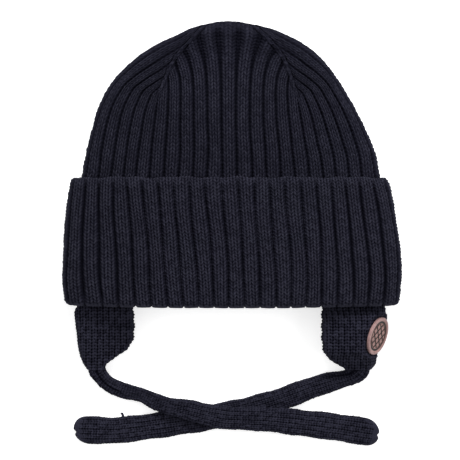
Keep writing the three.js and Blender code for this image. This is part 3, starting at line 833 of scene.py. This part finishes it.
def flap_ring(corners, rounding, columns, drift, down):
    """One row of a flap, from one free edge round the fold to the other, over the rounded edge, back
    along the lining side and round the first edge: points in (out, z), how far each rises with its
    V, how dark it is, its place across in stitches, and the point behind it in the wall's middle."""
    length, line, normal = bent_line(corners, rounding)
    rim = FLAP_WALL / 2
    low, high = length[0] + rim, length[-1] - rim
    clipped = np.clip(columns - drift, low, high)
    phase = columns / FLAP_LEG
    rise = PLAIN_V * np.abs(np.mod(phase, 2) - 1) * FLAP_ROW
    inside = (columns - drift > low) & (columns - drift < high)
    sink = np.where(inside, plain_relief(phase, np.full(len(phase), down)), EDGE_SINK)
    outer = sampled(clipped, length, line)
    out = unit(sampled(clipped, length, normal))
    lining_at = np.linspace(high, low, LINING_SAMPLES)
    lining_out = sampled(lining_at, length, normal)
    lining = sampled(lining_at, length, line) - lining_out * FLAP_WALL
    turn = np.linspace(0, np.pi, EDGE_POINTS + 2)[1:-1, None]
    ends, cores = [], []
    for edge, side in ((high, 1), (low, -1)):
        away = sampled(edge, length, normal)
        forward = side * np.array([away[1], -away[0]])
        centre = sampled(edge, length, line) - away * rim
        ends.append(centre + rim * (side * np.cos(turn) * away + np.sin(turn) * forward))
        cores.append(np.tile(centre, (EDGE_POINTS, 1)))
    ring = np.concatenate([outer - out * sink[:, None], ends[0], lining, ends[1]])
    core = np.concatenate([outer - out * rim, cores[0], lining + lining_out * rim, cores[1]])
    bare = len(ring) - len(phase)
    lift = np.concatenate([np.where(inside, rise, 0), np.zeros(bare)])
    dark = np.clip(PLAIN_DARK * sink / PLAIN_DEPTH, 0, 1)
    deep = np.concatenate([dark, np.full(bare, LINING_DARK)])
    count = np.concatenate([phase, np.full(EDGE_POINTS, phase[-1]), -lining_at / FLAP_LEG,
                            np.full(EDGE_POINTS, phase[0])])
    return ring, lift, deep, count, core


def flap_grid(rows, hand):
    """Rows of a flap from inside the rim to its tip. One more row at each end closes it on the
    middle of the wall."""
    start, tip = rows[0][0], rows[-1][0]
    y = np.append(np.arange(start, tip, -FLAP_ROW / FLAP_SAMPLES), tip)
    at = row_at(table(FLAP_COLUMNS, rows[::-1]), "y", y)
    step = FLAP_LEG / FLAP_SAMPLES
    columns = np.arange(-np.ceil(FLAP_REACH / FLAP_LEG) * FLAP_LEG, FLAP_REACH, step)
    to_corner = np.hypot(at["upper"] - at["lower"], at["upper_z"] - at["lower_z"]) / 2
    drifts = at["upper"] + to_corner - at["upper"][0] - to_corner[0]
    down = (start - y) / FLAP_ROW
    knots = EDGE_KNOT * np.cos(2 * np.pi * (start - y) / FLAP_ROW) + EDGE_WAVE * np.sin(0.9 * y)
    edge = at["edge"] + knots
    corners = np.array([[edge, at["upper_z"] - at["droop"]], [at["upper"], at["upper_z"]],
                        [at["lower"], at["lower_z"]], [edge, at["lower_z"]]])
    found = [flap_ring(corners[..., k], at["round"][k], columns, drifts[k], down[k])
             for k in range(len(y))]
    ring, lift, deep, count, core = (np.array(part) for part in zip(*found))
    ring = np.concatenate([core[:1], ring, core[-1:]])
    lift = np.pad(lift, ((1, 1), (0, 0)))
    deep, count = (np.pad(part, ((1, 1), (0, 0)), "edge") for part in (deep, count))
    y, down = np.pad(y, 1, "edge")[:, None], np.pad(down, 1, "edge")[:, None]
    fade = np.clip((y - tip) / (2 * FLAP_ROW), 0, 1)
    points = np.stack([hand * ring[..., 0], y - lift * fade, ring[..., 1]], -1)
    points[..., 2] = np.maximum(points[..., 2], 0)
    return points, np.stack([count, down + 0 * count], -1), deep


for name, rows, hand in (("left_flap", LEFT_FLAP, -1), ("right_flap", RIGHT_FLAP, 1)):
    add_piece(name + "_knit", flap_grid(rows, hand), PLAIN_WOOL, name)

# %% [markdown]
# The ties are narrow knitted straps, about 14 mm wide and 4 mm thick, that lie on the table. Each is
# a section carried along its route: the knit columns run along it and its Vs point to the free end.
# Near the flap the strap is rolled narrow, with a crease on top. Then it lies flat, and it ends
# round.

# %% Ties
TIE_COLUMNS = ["x", "y", "z", "wide", "thick"]
LEFT_TIE = [
    [-80.6, -72.0, 4.4, 8, 6.4],
    [-80.0, -76.0, 4.2, 9.2, 7.2],
    [-78.0, -79.8, 4, 8.4, 7],
    [-75.0, -83.4, 3.7, 8.6, 6.4],
    [-70.0, -86.7, 3.4, 8.6, 6],
    [-62.8, -89.3, 3.2, 8, 5.8],
    [-53.4, -91.6, 3.4, 8, 5.6],
    [-44.4, -95.6, 5.6, 8.6, 5.2],
    [-36, -98.0, 7.3, 9.6, 4.6],
    [-27.1, -99.6, 7.4, 10.6, 4.4],
    [-13.9, -102.8, 7.4, 12.2, 4.4],
    [-0.9, -105.0, 7.4, 12.8, 4.4],
    [16.2, -105.5, 7.4, 13.2, 4.4],
    [32.7, -106.8, 7.2, 14.4, 4.4],
    [43, -108.2, 4.6, 15, 4.4],
    [53, -109.5, 2.6, 15.2, 4.4],
    [66.1, -111.3, 2.4, 15.4, 4.4],
    [79.6, -113.4, 2.4, 15.4, 4.4],
]
RIGHT_TIE = [
    [77.4, -71.5, 4.8, 9, 6.4],
    [76.0, -76, 4.4, 11.2, 7.8],
    [73.2, -79.1, 4, 10.4, 7.2],
    [68.4, -81.5, 3.4, 9.6, 5.8],
    [58.1, -84.1, 2.7, 11, 4.8],
    [45.7, -88.1, 2.4, 12.2, 4.4],
    [34.2, -92.4, 2.4, 12.4, 4.4],
    [19.8, -97.2, 2.4, 13, 4.4],
    [-5.6, -103.6, 2.4, 14.2, 4.4],
    [-39.8, -109.1, 2.4, 14.4, 4.4],
    [-59.3, -111.7, 2.4, 14.6, 4.4],
    [-72, -112.8, 2.4, 15, 4.4],
    [-85.4, -112.4, 2.4, 15.4, 4.4],
]
TIE_END = 8.6
BLUNT = 2.3
END_DENT = 1.3
END_SLANT = 1.8
LEFT_DENT, RIGHT_DENT = 0.1, -0.15
CREASE_DEPTH = 0.9
CREASE_LENGTH = 30
CREASE_WIDTH, DENT_WIDTH = 0.15, 0.13
LEFT_CREASE, RIGHT_CREASE = (0.05, 0.35), (0.15, 0.75)
TIE_ROW = 1.7
TIE_LEGS = 26
TIE_SAMPLES = 4
TIE_RELIEF = 0.8
PLAIN_SWELL = 0.5
SECTION_POWER, SECTION_FLATNESS = 0.65, 3
SECTION_SAMPLES = 721
ROUTE_KERNEL = 15
TIE_WOBBLE, WOBBLE_WAVE = 0.25, 0.31
TIE_LOWEST = 0.02


def smooth_route(rows, spacing):
    """The tie's route as evenly spaced rows: each column of its table is a smooth curve of the
    length along it, run on past the last point by the round end."""
    rows = np.array(rows, float)
    end = rows[-1].copy()
    end[:2] += unit(rows[-1, :2] - rows[-2, :2]) * TIE_END
    rows = np.vstack([rows, end])
    length = running_length(rows[:, :3])
    at = np.append(np.arange(0, length[-1], spacing), length[-1])
    route = row_at({"length": length, **dict(zip(TIE_COLUMNS, rows.T))}, "length", at)
    kernel = np.hanning(ROUTE_KERNEL)
    for name in "xyz":
        route[name] = smoothed(route[name], kernel / kernel.sum())
    return at, route


def crease_relief(at, across, over, places):
    """Depth of the crease where the rolled strap opens out beyond the flap: on the upper side, from
    its first place across the strap to its last, deeper between rows, and fading along its way."""
    share = np.clip(at / CREASE_LENGTH, 0, 1)[:, None]
    place = places[0] + (places[1] - places[0]) * share
    dots = 0.6 + 0.4 * np.cos(np.pi * at[:, None] / TIE_ROW) ** 2
    line = np.exp(-(((across - place) / CREASE_WIDTH) ** 2)) * (over > 0)
    return CREASE_DEPTH * line * dots * (1 - share ** 2)


def squared_off(value):
    """A sine or cosine as a side of the tie's section, a superellipse."""
    return np.sign(value) * np.abs(value) ** SECTION_POWER


def tie_grid(rows, dent_at, crease):
    """Rings of a tie, its section evenly divided. At the free end the rings bow back towards the
    two edges, |across|^b + reach^b = 1, with a dent where the strap's halves meet."""
    at, route = smooth_route(rows, TIE_ROW / TIE_SAMPLES)
    line = np.stack([route[name] for name in "xyz"], -1)
    forward = unit(np.gradient(line, axis=0))
    side = unit(np.stack([forward[:, 1], -forward[:, 0], 0 * at], -1))
    up = np.cross(side, forward)
    left = np.clip((at[-1] - at) / TIE_END, 0, 1)
    thick = route["thick"] * np.maximum(1 - (1 - left) ** 3, 0.03) ** 0.5
    turn = np.linspace(0, 2 * np.pi, SECTION_SAMPLES)
    shape = np.stack([squared_off(np.cos(turn)), squared_off(np.sin(turn)) / SECTION_FLATNESS], -1)
    length = running_length(shape)
    columns = np.arange(TIE_LEGS * TIE_SAMPLES) / TIE_SAMPLES
    angle = np.interp(columns / TIE_LEGS * length[-1], length, turn)
    across, over = squared_off(np.cos(angle)), squared_off(np.sin(angle))
    rise = PLAIN_V * np.abs(np.mod(columns, 2) - 1)[None, :]
    fade = (smoothstep(at / 4) * smoothstep((at[-1] - at - 2) / 4))[:, None]
    phase = at[:, None] / TIE_ROW
    sink = TIE_RELIEF * plain_relief(columns, phase) * fade
    sink = sink + crease_relief(at, across, over, crease)
    wobble = TIE_WOBBLE * np.sin(at * WOBBLE_WAVE)[:, None] * np.cos(angle)
    half = route["wide"][:, None] / 2
    x_part = (half + PLAIN_SWELL - sink * np.abs(across)) * across + wobble * fade
    z_part = (thick[:, None] / 2 - sink * np.abs(over)) * over
    end_reach = TIE_END * np.clip(1 - np.abs(across) ** BLUNT, 0, 1) ** (1 / BLUNT)
    end_reach = end_reach - END_SLANT * np.clip(-across, 0, 1)
    end_reach = end_reach - END_DENT * np.exp(-(((across - dent_at) / DENT_WIDTH) ** 2))
    shift = rise * fade * TIE_ROW - (TIE_END - end_reach) * (1 - left[:, None])
    points = (line[:, None] + side[:, None] * x_part[..., None] + up[:, None] * z_part[..., None]
              + forward[:, None] * shift[..., None])
    points[..., 2] = np.maximum(points[..., 2], TIE_LOWEST)
    stitches = np.stack([columns + 0 * phase, phase + 0 * columns], -1)
    hollow = np.clip(PLAIN_DARK * sink / PLAIN_DEPTH / TIE_RELIEF, 0, 1)
    return (points, stitches, hollow), line, at[-1]


for name, rows, dent_at, crease in (("left_tie", LEFT_TIE, LEFT_DENT, LEFT_CREASE),
                                    ("right_tie", RIGHT_TIE, RIGHT_DENT, RIGHT_CREASE)):
    grid, line, length = tie_grid(rows, dent_at, crease)
    tie = add_piece(name + "_knit", grid, PLAIN_WOOL, name, closed=True)
    print(name, "length", round(length, 1), "mm")

# %% [markdown]
# One bare yarn end sticks out of the right tie's upper edge, as it does where a knitted strap was
# cast off: a thin round yarn along a small hook.

# %% Yarn end
YARN_RADIUS = 0.75
YARN_RINGS, YARN_SIDES = 40, 12
YARN_POINTS = np.array([[-63.8, -106.4, 3.0], [-64.0, -105.0, 3.6], [-64.5, -103.8, 3.7],
                        [-65.0, -102.6, 3.4], [-65.9, -102.4, 3.0]])


def yarn_grid():
    """A circle carried along a short hook; it thins to its end."""
    t = np.linspace(0, len(YARN_POINTS) - 1, YARN_RINGS)
    line = sampled(t, np.arange(len(YARN_POINTS)), YARN_POINTS)
    forward = unit(np.gradient(line, axis=0))
    side = unit(np.cross(forward, [0, 0, 1]))
    up = np.cross(side, forward)
    turn = np.linspace(0, 2 * np.pi, YARN_SIDES, endpoint=False)
    radius = YARN_RADIUS * (1 - 0.5 * smoothstep((t / t[-1] - 0.7) / 0.3))
    ring = np.cos(turn)[None, :, None] * side[:, None] + np.sin(turn)[None, :, None] * up[:, None]
    points = line[:, None] + radius[:, None, None] * ring
    stitches = np.stack(np.broadcast_arrays(turn, t[:, None]), -1)
    return points, stitches, np.full(points.shape[:2], 0.2)


add_piece("bare_yarn_end", yarn_grid(), PLAIN_WOOL, closed=True)

# %% [markdown]
# The patch is a disc of soft leather, pressed with a die: a raised rim, a ring groove, and a plain
# lattice inside. Its colour holds painted shade, darker over the pressed face and darkest in the
# grooves, and a painted highlight that makes the rim's edge pale.

# %% Patch
PATCH_RADIUS = 11.4
PATCH_THICK = 1.7
RIM_WIDTH = 1.9
RIM_HEIGHT = 0.42
RING_RADIUS, RING_HALF = 8.5, 0.36
LATTICE, LATTICE_HALF = 5.2, 0.28
GROOVE = 0.34
PATCH_TURNS = 200


def pressed_leather():
    """Vegetable-tanned leather, dyed and pressed: satin, with a fine pebbled grain."""
    material, tree = new_material("pressed_leather")
    place, hollow = surface_values(tree)
    # Painted shade and highlight: by hollow, the ramp runs from pale on the rim's edge to nearly black in
    # the grooves.
    colour = ramp(tree, hollow, [(0.0, "#957775"), (0.3, "#8E6C66"), (0.45, "#5A403A"), (0.7, "#0C0606")])
    cloud = tone(tree, noise(tree, place, 420.0, 4.0), 0.8, 1.2)
    grain = add_node(tree, "TexVoronoi", inputs={"Vector": place, "Scale": 2200.0})
    finish_material(tree, {
        "Base Color": toned(tree, colour, cloud), "Roughness": 0.62, "IOR": 1.5,
        "Normal": bump(tree, grain.outputs["Distance"], 0.35, 0.00012), "Specular IOR Level": 0.3})
    return material


def patch_grid():
    """Rings of the disc: radius and height along its section, and the pressed relief where the
    lattice lines |sin(x + y)| and |sin(x - y)| are near nothing."""
    top = np.concatenate([[0.0], np.arange(0.25, PATCH_RADIUS - 0.5, 0.22)])
    edge = [[PATCH_RADIUS - 0.35, PATCH_THICK - 0.05], [PATCH_RADIUS - 0.1, PATCH_THICK - 0.25],
            [PATCH_RADIUS, PATCH_THICK - 0.6], [PATCH_RADIUS, 0.3], [PATCH_RADIUS - 0.2, 0], [0, 0]]
    section = np.concatenate([np.stack([top, np.full(len(top), PATCH_THICK)], -1), edge])
    radius, height = section[:, :1], section[:, 1:]
    turn = np.linspace(0, 2 * np.pi, PATCH_TURNS, endpoint=False)
    x, y = radius * np.cos(turn), radius * np.sin(turn)
    face = np.zeros_like(radius)
    face[:-3] = smoothstep((PATCH_RADIUS - RIM_WIDTH + 0.25 - radius[:-3]) / 0.5)
    lines = np.minimum(np.abs(np.sin(np.pi * (x + y) / LATTICE)),
                       np.abs(np.sin(np.pi * (x - y) / LATTICE)))
    inside = smoothstep((RING_RADIUS - 0.8 - radius) / 0.3)
    lattice = (1 - smoothstep((lines - LATTICE_HALF) / 0.2)) * inside
    ring = 1 - smoothstep((np.abs(radius - RING_RADIUS) - RING_HALF) / 0.3)
    pressed = np.maximum(lattice, ring) * face
    z = height - RIM_HEIGHT * face - GROOVE * pressed
    # Painted shade: the pressed face is coloured darker than the rim, and its grooves darker still.
    hollow = np.clip(0.32 * face + 0.68 * pressed + 0.12 * (1 - face), 0, 1)
    # Painted highlight: the colour is made pale along the rim's rounded edge.
    rim_edge_highlight = 1 - smoothstep(np.abs(radius - (PATCH_RADIUS - 0.3)) / 0.7)
    hollow = hollow * (1 - 0.9 * rim_edge_highlight)
    across = unit(np.cross([0, 0, 1], PATCH_FACING))
    up = np.cross(PATCH_FACING, across)
    points = PATCH_CENTRE + x[..., None] * across + y[..., None] * up + z[..., None] * PATCH_FACING
    return points, np.stack([x, y], -1), hollow


add_piece("leather_patch", patch_grid(), pressed_leather(), "flap_patch")

# %% [markdown]
# The set is plain: a pale matt floor and large soft lights. The main one stands beyond the crown, so
# each stitch has a light upper side and a darker lower one, and the ribs' gaps go dark.

# %% Floor and light
FLOOR_HALF = 3.0
FLOOR_DROP = 0.0003
LIGHT_TARGET = Vector((0, 0.01, 0))
LIGHTS = [
    ("key_light", (0.15, 1.2, 0.9), 0.5, 20),
    ("left_fill", (-1.2, 0.2, 0.9), 0.8, 4),
    ("right_fill", (1.2, 0.1, 0.9), 0.8, 7),
]

floor_mesh = bpy.data.meshes.new("floor")
corners = [(x, y, 0) for x, y in FLOOR_HALF * np.array([(-1, -1), (1, -1), (1, 1), (-1, 1)])]
floor_mesh.from_pydata(corners, [], [(0, 1, 2, 3)])
floor = new_object("floor", floor_mesh)
floor.location.z = -FLOOR_DROP
floor_material, tree = new_material("matt_white_paper")
finish_material(tree, {"Base Color": linear("#F7F7F7"), "Roughness": 0.9,
                       "Emission Color": (1, 1, 1, 1), "Emission Strength": 0.6})
floor.data.materials.append(floor_material)

for name, place, size, watts in LIGHTS:
    light_data = bpy.data.lights.new(name, "AREA")
    light_data.size = size
    light_data.energy = watts
    light = new_object(name, light_data)
    light.location = place
    light.rotation_euler = (LIGHT_TARGET - Vector(place)).to_track_quat("-Z", "Y").to_euler()

world = bpy.data.worlds.new("studio")
bpy.context.scene.world = world
world.use_nodes = True
background = world.node_tree.nodes["Background"]
background.inputs["Color"].default_value = (1, 1, 1, 1)
background.inputs["Strength"].default_value = 0.5
bpy.context.scene.view_settings.view_transform = "Standard"
